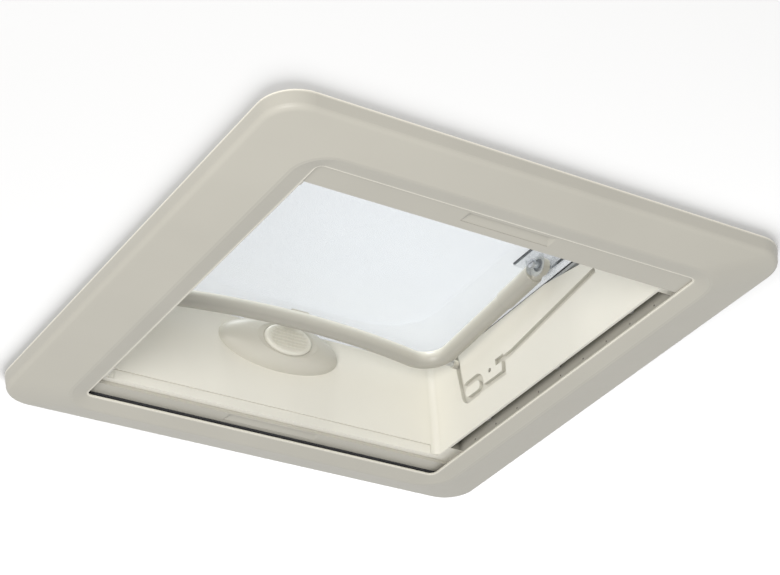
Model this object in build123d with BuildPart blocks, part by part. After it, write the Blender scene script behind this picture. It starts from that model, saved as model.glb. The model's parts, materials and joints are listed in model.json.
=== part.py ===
from build123d import *
import os
from math import atan2, cos, radians, sin, tan

os.makedirs("parts", exist_ok=True)

# All sizes are millimetres. The room is below, the sky above (+Z), the hinge at the rear (+Y).
# Z is zero at the lowest face of the ceiling trim, X and Y at its middle.

# Roof and cut-out
ceiling_z = 25.2
roof_thickness = 35.0
cutout = 400.0
collar_clearance = 6.0
collar_wall = 4.0
roof_z = ceiling_z + roof_thickness
collar_half = cutout / 2 - collar_clearance
collar_inner = collar_half - collar_wall

# Ceiling trim
trim_band_x = 65.6
trim_band_y = 54.3
trim_corner = 32.0
trim_wall = 2.5
trim_side_draft = 1.2
trim_shoulder = 6.0
trim_shoulder_z = 9.2
ridge_land = 3.0
ridge_corner = 30.0
bevel_run = 16.7
lip_z = 3.55
lip_thickness = 1.25
lip_inset_x = 5.6
lip_reach_y = 6.7
lip_corner = 6.0
cavity_share = 0.74
hook_lift = 4.5
hook_thickness = 2.0
hook_arm = 5.0
hook_post_gap = 1.0
shoulder_steps = 5
shoulder_turn = 75.0
cavity_corner_extra = 8.0
lip_top = lip_z + lip_thickness
lip_half_x = collar_inner - lip_inset_x
lip_half_y = collar_half + lip_reach_y
trim_x = 2 * (lip_half_x + trim_band_x)
trim_y = 2 * (lip_half_y + trim_band_y)
ridge_half_x = lip_half_x + bevel_run
ridge_half_y = lip_half_y + bevel_run

# Pull bars and blinds, rear bar on the lower level and front bar on the upper one
bar_gap = 0.3
bar_level_gap = 0.4
bar_thickness = 3.2
bar_overhang = 7.1
bar_corner = 8.0
rear_bar_width = 25.3
front_bar_width = 17.2
rear_bar_cover = 26.3
front_bar_cover = 16.4
rear_recess_length = 86.0
front_recess_length = 96.0
rear_recess_width = 12.7
front_recess_width = 11.5
rear_recess_edge = 3.3
front_recess_edge = 1.6
recess_depth = 2.4
recess_flat = 3.5
recess_shallow = 0.3
recess_end_run = 5.0
shoe_width = 2.3
cloth_thickness = 3.0
cloth_side_gap = 1.5
cloth_gap = 0.2
bar_half_x = lip_half_x + bar_overhang
rear_bar_front_y = lip_half_y - rear_bar_cover
front_bar_front_y = front_bar_cover - lip_half_y
rear_bar_z = lip_top + bar_gap
front_bar_z = rear_bar_z + bar_thickness + bar_level_gap
rear_bar_back_y = rear_bar_front_y + rear_bar_width
front_bar_back_y = front_bar_front_y - front_bar_width
bars_top = front_bar_z + bar_thickness

# Well liner
liner_wall = 2.5
well_side_gap = 18.0
well_side_run = 4.4
well_end_run = 6.5
well_corner = 6.0
well_bottom_gap = 1.1
well_top_z = 105.5
scoop_drop = 8.0
scoop_deep_drop = 15.5
scoop_start_inset = 60.0
scoop_bend_y = 15.0
scoop_deep_y = 66.0
scoop_deep_run = 39.0
scoop_ramp = 12.0
liner_rib_out = 11.0
liner_rib_thickness = 2.4
liner_rib_gap = 0.3
well_bottom_z = bars_top + well_bottom_gap
well_height = well_top_z - well_bottom_z
well_top_half = collar_inner - well_side_gap
well_bottom_half_x = well_top_half + well_side_run
well_bottom_half_y = well_top_half + well_end_run
front_lean = atan2(well_bottom_half_y - well_top_half, well_height)
side_lean = atan2(well_bottom_half_x - well_top_half, well_height)

# Guide track in the side walls
track_width = 6.5
track_depth = 4.0
track_floor = 2.0
track_entry_inset = 41.0
track_entry_run = 5.0
track_low_z = 44.0
track_loop_length = 30.0
track_loop_height = 16.0
track_hook_run = 63.0
track_hook_length = 15.0
track_slot_run = 84.0
track_slot_length = 134.0
track_slot_start_z = 58.0
track_slot_end_z = 74.0
track_dimple_radius = 2.2
track_dimple_before = 6.0
track_dimple_drop = 3.0
track_join = 3.0
track_sag = 1.0
track_hook_lean = 2.0
track_hook_tip = 4.0
track_run_out = 5.0
pad_margin = 13.0
pad_drop = 19.5
track_entry_y = track_entry_inset - well_top_half
track_entry_foot_y = track_entry_y + track_entry_run
track_hook_y = track_entry_y + track_hook_run
track_slot_start_y = track_entry_y + track_slot_run
track_slot_end_y = track_slot_start_y + track_slot_length

# Rails of the blinds and cassettes
rail_gap = 0.5
rail_wall = 2.0
rail_shelf_thickness = 0.8
rail_shelf_gap = 0.3
rail_roof = 2.0
rail_roof_inset = 9.0
rail_stop_inset = 14.5
rail_reach = 21.3
collar_lift = 0.8
vent_count = 9
vent_pitch = 34.3
vent_radius = 0.9
vent_z = 14.5
cassette_height = 17.2
cassette_wall = 1.5
cassette_board = 2.0
cassette_board_inset = 8.4
cassette_air = 0.8
cassette_rib_gap = 2.0
ledge_gap = 0.3
ledge_thickness = 0.6
ledge_depth = 11.5
ledge_tab_x = 16.0
ledge_tab_y = 18.5
cassette_rib_pitch = 80.0
cassette_rib_count = 5
cassette_block_x = 10.0
cassette_block_y = 8.0
cassette_block_z = 8.0
cassette_screw_inset = 12.0
cassette_screw_grip = 7.0
liner_gap = 0.5
notch_gap = 0.4
rail_x = bar_half_x + rail_gap
rail_stop_y = well_bottom_half_y - rail_stop_inset
rail_length = 2 * (lip_half_y + rail_reach)
cassette_board_half = well_bottom_half_x - cassette_board_inset
cloth_room = rail_length / 2 - cassette_wall - cassette_air - cloth_gap
cloth_depth = cloth_room + front_bar_back_y
collar_bottom = ceiling_z + collar_lift
ledge_z = bars_top + ledge_gap
cassette_top = lip_top + cassette_height

# Outer frame on the roof
sealant_thickness = 2.0
sealant_width = 22.0
sealant_edge = 4.0
flange_thickness = 3.0
flange_reach_x = 32.0
flange_reach_y = 38.0
flange_corner = 40.0
collar_corner = 22.0
collar_rim_width = 12.0
collar_rim_thickness = 3.0
collar_top = well_top_z
flange_x = cutout + 2 * flange_reach_x
flange_y = cutout + 2 * flange_reach_y
flange_z = roof_z + sealant_thickness

# Collar seal
seal_width = 7.0
seal_height = 6.2
seal_inset = 2.5
seal_round = 3.1
seal_lip_gap = 0.3

# Dome panes
inner_pane = 2.5
outer_pane = 3.0
pane_gap = 1.0
rim_reach = 16.0
rim_corner = 46.0
rim_border = 18.0
inner_bulge_inset_x = 88.0
inner_bulge_inset_y = 76.0
inner_rise = 14.0
outer_rise = 27.0
bulge_corner = 50.0
bubble_steps = 9
bubble_top_angle = 84.0
corner_limit = 0.99
inner_rim_inset = 4.0
spacer_edge = 6.0
spacer_width = 10.0
rim_half = cutout / 2 + rim_reach
inner_bulge_half_x = rim_half - inner_bulge_inset_x
inner_bulge_half_y = rim_half - inner_bulge_inset_y
dome_z = collar_top + seal_height + seal_lip_gap

# Hinge
hinge_inset = 11.0
hinge_x = 130.0
hinge_pin_radius = 2.0
hinge_pin_gap = 0.06
hinge_barrel_radius = 4.2
hinge_barrel_gap = 0.3
hinge_barrel_length = 30.0
hinge_ear_length = 12.0
hinge_end_gap = 0.4
hinge_leaf = 2.0
hinge_leaf_front = 9.0
hinge_leaf_rear = 9.0
hinge_base_thickness = 3.0
hinge_base_width = 20.0
hinge_tab = 9.0
hinge_screw_inset = 4.0
pin_head = 1.5
pin_head_lip = 1.2
flange_screw_grip = 2.0
hinge_y = rim_half - hinge_inset
hinge_z = dome_z - hinge_leaf - hinge_barrel_radius

# Bow handle
bow_radius = 8.2
bow_side_gap = 18.0
bow_pivot_y = 37.5
bow_pivot_drop = 12.5
bow_end_gap = 29.0
bow_front_drop = 26.2
bow_bulge = 17.0
bow_corner = 25.0
bow_eye_width = 7.0
arm_extra = 1.2
arm_length = 58.0
arm_round = 1.0
arm_end = 12.5
pivot_radius = 3.0
pivot_gap = 0.06
pivot_head_radius = 4.2
pivot_head = 3.0
pivot_slot = 1.2
pin_seat_gap = 0.02
guide_pin_radius = 3.0
guide_pin_back = 1.0
guide_pin_seat = 7.0
roller_radius = 4.2
roller_length = 5.0
roller_wall_gap = 0.5
bow_half_x = well_top_half - bow_side_gap
bow_pivot_z = dome_z - bow_pivot_drop
bow_front_y = bow_end_gap - well_top_half
bow_front_z = dome_z - bow_front_drop
guide_pin_y = track_entry_y + guide_pin_back

# Bow brackets under the inner pane
bracket_base = 2.0
bracket_ear = 5.0
bracket_length = 46.0
bracket_gasket = 1.0
bracket_inner_reach = 14.0
bracket_outer_reach = 23.0
gasket_border = 2.5
washer_thickness = 0.9
washer_radius = 6.0
washer_gap = 0.1
bracket_ear_radius = 10.5

# Lock on the front wall
lock_drop = 20.5
housing_half_x = 64.0
housing_half_z = 25.5
housing_height = 16.5
lock_screw_x = 40.0
lock_screw_reach = 8.0
button_half_x = 25.0
button_half_z = 15.0
button_gap = 0.4
button_proud = 4.0
button_stroke = 4.0
button_floor = 2.0
button_plate = 2.0
button_rib_count = 6
button_rib_height = 0.6
button_rib_width = 1.2
button_rib_pitch = 3.2
button_bore = 4.6
button_round = 3.0
button_head = 4.0
button_rib_reach = 0.78
plate_gap = 0.2
plate_drop = 8.0
housing_shape = (
    (0, 1, 1),
    (0.25, 0.96, 0.97),
    (0.5, 0.88, 0.91),
    (0.75, 0.74, 0.81),
    (0.92, 0.58, 0.71),
    (1, 0.5, 0.65),
)
housing_top_gap = 0.5
spring_radius = 3.6
spring_wire = 0.5
spring_turns = 6
bolt_width = 12.0
bolt_thickness = 2.4
bolt_gap = 0.7
bolt_tip_gap = 0.3
striker_width = 18.0
striker_depth = 6.0
striker_wall = 1.0
striker_notch = 3.0
striker_lead = 3.0
notch_side_gap = 0.5
notch_height_gap = 0.6
bolt_slot_gap = 0.3
lock_z = well_top_z - lock_drop

# Fasteners
clamp_thickness = 2.0
clamp_width = 26.0
clamp_reach = 24.0
clamp_leg = 32.0
clamp_offset = 120.0
clamp_screw_rise = 19.8
screw_radius = 2.0
screw_head_radius = 4.0
screw_head = 2.5
frame_screw_pitch = 110.0
boss_width = 12.0
boss_height = 14.0
boss_depth = 7.0
boss_inset = 1.0
frame_screw_grip = 9.0
clamp_screw_end = 1.5
clip_thickness = 1.0
clip_width = 14.0
clip_height = 12.0
clip_foot = 5.0
clip_pitch = 80.0
clip_gap = 0.3
small_screw_radius = 1.6
small_head = 1.5
thread_gap = 0.05
hole_gap = 0.2
screw_end_gap = 0.3
clamp_screw_z = ceiling_z + clamp_screw_rise


def outline(z, half_x, half_y, radius):
    """Rounded rectangle at height z."""
    with BuildSketch(Plane.XY.offset(z)) as section:
        RectangleRounded(2 * half_x, 2 * half_y, radius)
    return section.sketch


def well_half(z):
    """Half widths in X and Y of the well's inner faces at height z."""
    share = (z - well_bottom_z) / well_height
    half_x = well_bottom_half_x + (well_top_half - well_bottom_half_x) * share
    half_y = well_bottom_half_y + (well_top_half - well_bottom_half_y) * share
    return half_x, half_y


def write(piece, name):
    """Label a finished piece and write its STEP file."""
    piece.part.label = name
    export_step(piece.part, f"parts/{name}.step")


# Ceiling trim: side wall, round shoulder, sloping face, rest land, inner bevel and lip
face_run_x = trim_x / 2 - trim_side_draft - trim_shoulder - ridge_half_x - ridge_land
face_run_y = trim_y / 2 - trim_side_draft - trim_shoulder - ridge_half_y - ridge_land


def trim_outline(inset, z, wall=0.0):
    """Section of the trim's outside, set in from its edge at the ceiling."""
    return outline(z + wall, trim_x / 2 - inset, trim_y / 2 - inset, trim_corner - inset)


def shoulder_sections(wall):
    """Sections round the shoulder between the side wall and the face."""
    sections = [trim_outline(wall, ceiling_z)]
    for step in range(shoulder_steps + 1):
        angle = radians(shoulder_turn * step / shoulder_steps)
        inset = trim_side_draft + trim_shoulder * (1 - cos(angle))
        z = trim_shoulder_z + trim_shoulder * (1 - sin(angle))
        sections.append(trim_outline(inset + wall, z, wall * sin(angle)))
    return sections


cavity_x = ridge_half_x + ridge_land + (1 - cavity_share) * face_run_x
cavity_y = ridge_half_y + ridge_land + (1 - cavity_share) * face_run_y
cavity_corner = ridge_corner + cavity_corner_extra

with BuildPart() as ceiling_trim:
    face_edge = outline(0, ridge_half_x + ridge_land, ridge_half_y + ridge_land, ridge_corner + ridge_land)
    loft(sections=shoulder_sections(0.0) + [face_edge], ruled=True)
    hollow_floor = outline(lip_top, cavity_x, cavity_y, cavity_corner)
    loft(sections=shoulder_sections(trim_wall) + [hollow_floor], ruled=True, mode=Mode.SUBTRACT)
    ridge = outline(0, ridge_half_x, ridge_half_y, ridge_corner)
    lip = outline(lip_z, lip_half_x, lip_half_y, lip_corner)
    loft(sections=[ridge, lip], ruled=True, mode=Mode.SUBTRACT)
    extrude(outline(lip_z, lip_half_x, lip_half_y, lip_corner), amount=trim_wall, mode=Mode.SUBTRACT)
    # Hooks that hang on the spring clips of the rails
    hook_z = lip_top + clip_thickness + hook_lift
    hook_x = rail_x + rail_wall + clip_thickness + clip_foot + hook_post_gap + hook_thickness / 2
    for side in (-1, 1):
        with BuildSketch(Plane.XY.offset(lip_top)):
            with Locations([(side * hook_x, clip_pitch * n) for n in (-1, 0, 1)]):
                Rectangle(hook_thickness, clip_width)
        extrude(amount=hook_z - lip_top + hook_thickness)
        with BuildSketch(Plane.XY.offset(hook_z)):
            with Locations([(side * (hook_x - hook_arm / 2), clip_pitch * n) for n in (-1, 0, 1)]):
                Rectangle(hook_arm, clip_width)
        extrude(amount=hook_thickness)
write(ceiling_trim, "ceiling_trim")

# Side rails of the blinds: wall with vent holes, shelf, roof and channel stops
shelf_z = rear_bar_z + bar_thickness + rail_shelf_gap
shoe_z = shelf_z + rail_shelf_thickness + rail_shelf_gap
cassette_back_y = rail_length / 2
cassette_screw_y = cassette_back_y - cassette_screw_inset
cassette_screw_z = cassette_top - cassette_block_z / 2
boss_x = rail_x - boss_depth / 2 - boss_inset
for side, name in ((-1, "blind_rail_left"), (1, "blind_rail_right")):
    with BuildPart() as rail:
        with BuildSketch(Plane.XY.offset(lip_top)):
            with Locations((side * (rail_x + rail_wall / 2), 0)):
                Rectangle(rail_wall, rail_length)
        extrude(amount=cassette_height)
        with BuildSketch(Plane.XY.offset(cassette_top)):
            with Locations((side * (rail_x + rail_wall / 2), 0)):
                Rectangle(rail_wall, 2 * collar_inner)
        extrude(amount=collar_bottom - cassette_top)
        with BuildSketch(Plane.XY.offset(shelf_z)):
            with Locations((side * (rail_x - shoe_width / 2), 0)):
                Rectangle(shoe_width, rail_length - 2 * cassette_wall)
        extrude(amount=rail_shelf_thickness)
        with BuildSketch(Plane.XY.offset(collar_bottom - rail_roof)):
            with Locations((side * (rail_x - rail_roof_inset / 2), 0)):
                Rectangle(rail_roof_inset, 2 * rail_stop_y)
        extrude(amount=rail_roof)
        with BuildSketch(Plane.XY.offset(well_bottom_z)):
            with Locations([(side * (rail_x - rail_roof_inset / 2), end * rail_stop_y) for end in (-1, 1)]):
                Rectangle(rail_roof_inset, rail_wall)
        extrude(amount=collar_bottom - well_bottom_z)
        with Locations(Plane.YZ.offset(side * rail_x)):
            with Locations([(vent_pitch * (n - (vent_count - 1) / 2), vent_z) for n in range(vent_count)]):
                Cylinder(vent_radius, 4 * rail_wall, mode=Mode.SUBTRACT)
        with Locations([(side * boss_x, frame_screw_pitch * n, collar_bottom) for n in (-1, 0, 1)]):
            Cylinder(screw_radius + hole_gap, 4 * rail_roof, mode=Mode.SUBTRACT)
        with Locations([(side * rail_x, end * cassette_screw_y, cassette_screw_z) for end in (-1, 1)]):
            Cylinder(small_screw_radius + hole_gap, 4 * rail_wall, rotation=(0, 90, 0), mode=Mode.SUBTRACT)
    write(rail, name)

# Cassettes that hold the folded blinds
for end, name in ((-1, "front_cassette"), (1, "rear_cassette")):
    with BuildPart() as cassette:
        board_y = well_bottom_half_y
        with BuildSketch(Plane.XY.offset(ledge_z)):
            with Locations((0, end * (board_y + cassette_board / 2))):
                Rectangle(2 * cassette_board_half, cassette_board)
        extrude(amount=cassette_top - ledge_z)
        # Ledge above the pull bar, with a tab that closes each end of the side channels
        with BuildSketch(Plane.XY.offset(ledge_z)):
            with Locations((0, end * (board_y + ledge_depth / 2))):
                Rectangle(2 * rail_x, ledge_depth)
            tab_x = rail_x - ledge_tab_x / 2
            with Locations([(s * tab_x, end * (board_y - ledge_tab_y / 2)) for s in (-1, 1)]):
                Rectangle(ledge_tab_x, ledge_tab_y)
        extrude(amount=ledge_thickness)
        roof_front = board_y + liner_wall + liner_gap
        roof_middle = end * (roof_front + cassette_back_y) / 2
        with BuildSketch(Plane.XY.offset(cassette_top - cassette_wall)):
            with Locations((0, roof_middle)):
                Rectangle(2 * rail_x, cassette_back_y - roof_front)
            with Locations((0, end * (board_y + roof_front) / 2)):
                Rectangle(2 * cassette_board_half, roof_front - board_y)
        extrude(amount=cassette_wall)
        with BuildSketch(Plane.XY.offset(lip_top)):
            with Locations((0, end * (cassette_back_y - cassette_wall / 2))):
                Rectangle(2 * rail_x, cassette_wall)
        extrude(amount=cassette_height)
        # Ribs that stiffen the roof above the folded cloth
        with BuildSketch(Plane.XY.offset(bars_top + cassette_rib_gap)):
            first_rib = -cassette_rib_pitch * (cassette_rib_count - 1) / 2
            ribs = [first_rib + cassette_rib_pitch * n for n in range(cassette_rib_count)]
            with Locations([(rib_x, roof_middle) for rib_x in ribs]):
                Rectangle(cassette_wall, cassette_back_y - roof_front - cassette_wall)
        extrude(amount=cassette_top - bars_top - cassette_rib_gap)
        # Screw blocks at both ends
        with BuildSketch(Plane.XY.offset(cassette_top - cassette_block_z)):
            with Locations([(s * (rail_x - cassette_block_x / 2), end * cassette_screw_y) for s in (-1, 1)]):
                Rectangle(cassette_block_x, cassette_block_y)
        extrude(amount=cassette_block_z)
        with Locations([(s * rail_x, end * cassette_screw_y, cassette_screw_z) for s in (-1, 1)]):
            Cylinder(
                small_screw_radius + thread_gap,
                2 * (cassette_screw_grip + screw_end_gap),
                rotation=(0, 90, 0),
                mode=Mode.SUBTRACT,
            )
    write(cassette, name)

# Plane of the lock, on the inner face of the front wall
lock_plane = Plane(
    origin=(0, -well_half(lock_z)[1], lock_z),
    x_dir=(-1, 0, 0),
    z_dir=(0, cos(front_lean), -sin(front_lean)),
)

# Well liner: leaning walls, seat rib, pads behind the guide track, track grooves
notch_top = cassette_top + notch_gap
pad_out = track_depth + track_floor - liner_wall


def liner_section(z, grow):
    half_x, half_y = well_half(z)
    return outline(z, half_x + grow, half_y + grow, well_corner + grow)


def track_plane(side):
    """Plane on the inner face of a side wall, its X along the row's Y, its Y up the wall."""
    up = (-side * sin(side_lean), 0, cos(side_lean))
    across = Vector(0, 1, 0)
    out = across.cross(Vector(*up))
    return Plane(origin=(side * well_bottom_half_x, 0, well_bottom_z), x_dir=across, z_dir=out)


def track_sketch(side):
    """Guide track of the bow's pin: entry, first loop, hook and long slot."""
    with BuildSketch(track_plane(side)) as track:
        rise = track_low_z - well_bottom_z
        loop_y = track_entry_foot_y + track_loop_length / 2
        top = well_height + track_run_out
        with BuildLine():
            Line((track_entry_y, top), (track_entry_foot_y, rise + track_loop_height / 2))
        trace(line_width=track_width)
        with Locations((loop_y, rise + track_loop_height / 2)):
            SlotOverall(track_loop_length + track_width, track_loop_height + track_width)
            SlotOverall(track_loop_length - track_width, track_loop_height - track_width, mode=Mode.SUBTRACT)
        hook_top = rise + track_loop_height
        hook_end = track_hook_y + track_hook_length / 2
        hook_start = track_hook_y - track_hook_length / 2
        with BuildLine():
            Line((loop_y + track_loop_length / 2 - track_join, rise + track_sag), (hook_end, rise))
            Line((hook_end, rise), (hook_end + track_hook_lean, hook_top))
        trace(line_width=track_width)
        with BuildLine():
            Line((hook_end + track_hook_lean, hook_top), (hook_start + track_hook_tip, hook_top))
        trace(line_width=track_width)
        slot_rise = track_slot_start_z - well_bottom_z
        with BuildLine():
            Line((hook_end, slot_rise), (track_slot_start_y, slot_rise))
            Line((track_slot_start_y, slot_rise), (track_slot_end_y, track_slot_end_z - well_bottom_z))
        trace(line_width=track_width)
        with Locations((hook_start - track_dimple_before, hook_top - track_dimple_drop)):
            Circle(track_dimple_radius)
    return track.sketch


with BuildPart() as well_liner:
    loft(sections=[liner_section(well_bottom_z, liner_wall), liner_section(well_top_z, liner_wall)])
    rib_z = collar_top - collar_rim_thickness - liner_rib_gap - liner_rib_thickness
    extrude(liner_section(rib_z, liner_rib_out), amount=liner_rib_thickness)
    for side in (-1, 1):
        with BuildSketch(track_plane(side)):
            pad_low = track_low_z - well_bottom_z - pad_drop
            with Locations(((track_slot_end_y + track_entry_y) / 2, (pad_low + rib_z - well_bottom_z) / 2)):
                Rectangle(
                    track_slot_end_y - track_entry_y + 2 * pad_margin,
                    rib_z - well_bottom_z - pad_low,
                )
        extrude(amount=side * (liner_wall + pad_out))
    loft(
        sections=[liner_section(well_bottom_z, 0.0), liner_section(well_top_z, 0.0)],
        mode=Mode.SUBTRACT,
    )
    for end in (-1, 1):
        with BuildSketch(Plane.XY.offset(well_bottom_z)):
            with Locations((0, end * well_bottom_half_y)):
                Rectangle(2 * (cassette_board_half + notch_gap), 8 * liner_wall)
        extrude(amount=notch_top - well_bottom_z, mode=Mode.SUBTRACT)
    for side in (-1, 1):
        extrude(track_sketch(side), amount=side * track_depth, both=True, mode=Mode.SUBTRACT)
    with BuildSketch(lock_plane):
        with Locations([(side * lock_screw_x, 0) for side in (-1, 1)]):
            Circle(small_screw_radius + hole_gap)
    extrude(amount=2 * liner_wall, both=True, mode=Mode.SUBTRACT)
    # Side walls lowered below the collar seal, deeper toward the rear
    scoop_start_y = scoop_start_inset - well_top_half
    scoop_end_y = scoop_deep_y + scoop_deep_run
    with BuildSketch(Plane.YZ):
        with BuildLine():
            Polyline(
                (scoop_start_y - scoop_ramp, well_top_z + scoop_ramp),
                (scoop_start_y, well_top_z - scoop_drop),
                (scoop_bend_y, well_top_z - scoop_drop),
                (scoop_deep_y, well_top_z - scoop_deep_drop),
                (scoop_end_y, well_top_z - scoop_deep_drop),
                (scoop_end_y + scoop_ramp, well_top_z + scoop_ramp),
                close=True,
            )
        make_face()
    extrude(amount=2 * collar_half, both=True, mode=Mode.SUBTRACT)
write(well_liner, "well_liner")

# Places of the hinge screws, four in the flange and four in the dome's rim
flange_top = flange_z + flange_thickness
ear_x = hinge_barrel_length / 2 + hinge_end_gap + hinge_ear_length / 2
hinge_half_length = hinge_barrel_length / 2 + hinge_end_gap + hinge_ear_length + hinge_tab
hinge_screw_places = []
for side in (-1, 1):
    for end in (-1, 1):
        hinge_screw_places.append((side * hinge_x + end * (hinge_half_length - hinge_screw_inset), hinge_y))

# Outer frame: flange on the roof, collar through the cut-out, rim for the seal, screw bosses
with BuildPart() as outer_frame:
    extrude(outline(flange_z, flange_x / 2, flange_y / 2, flange_corner), amount=flange_thickness)
    collar_height = collar_top - collar_bottom
    extrude(outline(collar_bottom, collar_half, collar_half, collar_corner), amount=collar_height)
    extrude(
        outline(collar_bottom, collar_inner, collar_inner, collar_corner - collar_wall),
        amount=collar_height - collar_rim_thickness,
        mode=Mode.SUBTRACT,
    )
    extrude(
        outline(collar_bottom, collar_half - collar_rim_width, collar_half - collar_rim_width, well_corner),
        amount=collar_top,
        mode=Mode.SUBTRACT,
    )
    for side in (-1, 1):
        with BuildSketch(Plane.XY.offset(collar_bottom)):
            with Locations([(side * boss_x, frame_screw_pitch * n) for n in (-1, 0, 1)]):
                Rectangle(boss_depth + 2 * boss_inset, boss_width)
        extrude(amount=boss_height)
    for side in (-1, 1):
        with Locations([(side * boss_x, frame_screw_pitch * n, collar_bottom) for n in (-1, 0, 1)]):
            Cylinder(screw_radius + thread_gap, 2 * (frame_screw_grip + screw_end_gap), mode=Mode.SUBTRACT)
    # Holes for the clamp screws and for the screws of the hinge bases
    through = 2 * (collar_half + collar_wall)
    with Locations([(0, s * clamp_offset, clamp_screw_z) for s in (-1, 1)]):
        Cylinder(screw_radius + hole_gap, through, rotation=(0, 90, 0), mode=Mode.SUBTRACT)
    with Locations([(s * clamp_offset, 0, clamp_screw_z) for s in (-1, 1)]):
        Cylinder(screw_radius + hole_gap, through, rotation=(90, 0, 0), mode=Mode.SUBTRACT)
    with Locations([(x, y, flange_top) for x, y in hinge_screw_places]):
        Cylinder(
            small_screw_radius + thread_gap,
            2 * (flange_screw_grip + screw_end_gap),
            mode=Mode.SUBTRACT,
        )
write(outer_frame, "outer_frame")

# Sealing bed between flange and roof
with BuildPart() as roof_sealant:
    sealant_x = flange_x / 2 - sealant_edge
    sealant_y = flange_y / 2 - sealant_edge
    extrude(outline(roof_z, sealant_x, sealant_y, flange_corner - sealant_edge), amount=sealant_thickness)
    inner_x = sealant_x - sealant_width
    inner_y = sealant_y - sealant_width
    extrude(outline(roof_z, inner_x, inner_y, collar_corner), amount=sealant_thickness, mode=Mode.SUBTRACT)
write(roof_sealant, "roof_sealant")

# Collar seal on the rim
seal_outer = collar_half - seal_inset
with BuildPart() as collar_seal:
    extrude(outline(collar_top, seal_outer, seal_outer, collar_corner - seal_inset), amount=seal_height)
    seal_inner = seal_outer - seal_width
    seal_corner = collar_corner - seal_inset - seal_width
    extrude(outline(collar_top, seal_inner, seal_inner, seal_corner), amount=seal_height, mode=Mode.SUBTRACT)
    fillet(collar_seal.edges().group_by(Axis.Z)[-1], seal_round)
write(collar_seal, "collar_seal")

# Roof clamps and their screws
clamp_places = []
for turn in range(4):
    for s in (-1, 1):
        clamp_places.append((90.0 * turn, s * clamp_offset))

with BuildPart() as roof_clamps:
    for turn, offset in clamp_places:
        with Locations(Location((0, 0, 0), (0, 0, turn))):
            with Locations((collar_half, offset, ceiling_z - clamp_thickness)):
                Box(
                    clamp_thickness,
                    clamp_width,
                    clamp_leg,
                    align=(Align.MIN, Align.CENTER, Align.MIN),
                )
                Box(
                    clamp_reach,
                    clamp_width,
                    clamp_thickness,
                    align=(Align.MIN, Align.CENTER, Align.MIN),
                )
            with Locations(Location((collar_half, offset, clamp_screw_z), (0, 90, 0))):
                Cylinder(screw_radius + thread_gap, 4 * clamp_thickness, mode=Mode.SUBTRACT)
write(roof_clamps, "roof_clamps")

with BuildPart() as clamp_screws:
    for turn, offset in clamp_places:
        with Locations(Location((0, 0, 0), (0, 0, turn))):
            with Locations(Location((collar_inner - screw_head, offset, clamp_screw_z), (0, 90, 0))):
                Cylinder(
                    screw_head_radius,
                    screw_head,
                    align=(Align.CENTER, Align.CENTER, Align.MIN),
                )
                Cylinder(
                    screw_radius,
                    screw_head + collar_wall + clamp_thickness + clamp_screw_end,
                    align=(Align.CENTER, Align.CENTER, Align.MIN),
                )
write(clamp_screws, "clamp_screws")

# Screws that hold the rails to the collar
with BuildPart() as frame_screws:
    for side in (-1, 1):
        for n in (-1, 0, 1):
            with Locations((side * boss_x, frame_screw_pitch * n, collar_bottom - rail_roof - screw_head)):
                Cylinder(
                    screw_head_radius,
                    screw_head,
                    align=(Align.CENTER, Align.CENTER, Align.MIN),
                )
                Cylinder(
                    screw_radius,
                    screw_head + rail_roof + frame_screw_grip,
                    align=(Align.CENTER, Align.CENTER, Align.MIN),
                )
write(frame_screws, "frame_screws")

# Screws that hold the cassettes between the rails
with BuildPart() as cassette_screws:
    for side in (-1, 1):
        for end in (-1, 1):
            head = (side * (rail_x + rail_wall + small_head), end * cassette_screw_y, cassette_screw_z)
            with Locations(Location(head, (0, -90 * side, 0))):
                Cylinder(
                    2 * small_screw_radius,
                    small_head,
                    align=(Align.CENTER, Align.CENTER, Align.MIN),
                )
                Cylinder(
                    small_screw_radius,
                    small_head + rail_wall + cassette_screw_grip,
                    align=(Align.CENTER, Align.CENTER, Align.MIN),
                )
write(cassette_screws, "cassette_screws")

# Spring clips on the rails, under the hooks of the trim
with BuildPart() as trim_clips:
    for side in (-1, 1):
        for n in (-1, 0, 1):
            with BuildSketch(Plane.XZ.offset(-clip_pitch * n)):
                leg_x = side * (rail_x + rail_wall)
                foot_z = hook_z - clip_gap - clip_thickness
                with Locations((leg_x + side * clip_thickness / 2, foot_z + clip_height / 2)):
                    Rectangle(clip_thickness, clip_height)
                clip_reach = clip_thickness + clip_foot
                with Locations((leg_x + side * clip_reach / 2, foot_z + clip_thickness / 2)):
                    Rectangle(clip_reach, clip_thickness)
            extrude(amount=clip_width / 2, both=True)
write(trim_clips, "trim_clips")

# Pull bars with their finger recesses
def finger_recess(z, deep_y, length, width):
    """Scoop for the fingers: deep along one edge, running out toward -Y, with sloping ends."""
    with BuildPart(mode=Mode.PRIVATE) as recess:
        with BuildSketch(Plane.YZ):
            with BuildLine():
                Polyline(
                    (deep_y, z),
                    (deep_y, z + recess_depth),
                    (deep_y - recess_flat, z + recess_depth),
                    (deep_y - width, z + recess_shallow),
                    (deep_y - width, z),
                    close=True,
                )
            make_face()
        extrude(amount=length / 2, both=True)
        with BuildSketch(Plane.XZ.offset(-deep_y)):
            with BuildLine():
                Polyline(
                    (-length / 2, z),
                    (length / 2, z),
                    (length / 2 - recess_end_run, z + recess_depth),
                    (recess_end_run - length / 2, z + recess_depth),
                    close=True,
                )
            make_face()
        extrude(amount=2 * width, both=True, mode=Mode.INTERSECT)
    return recess.part


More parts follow.
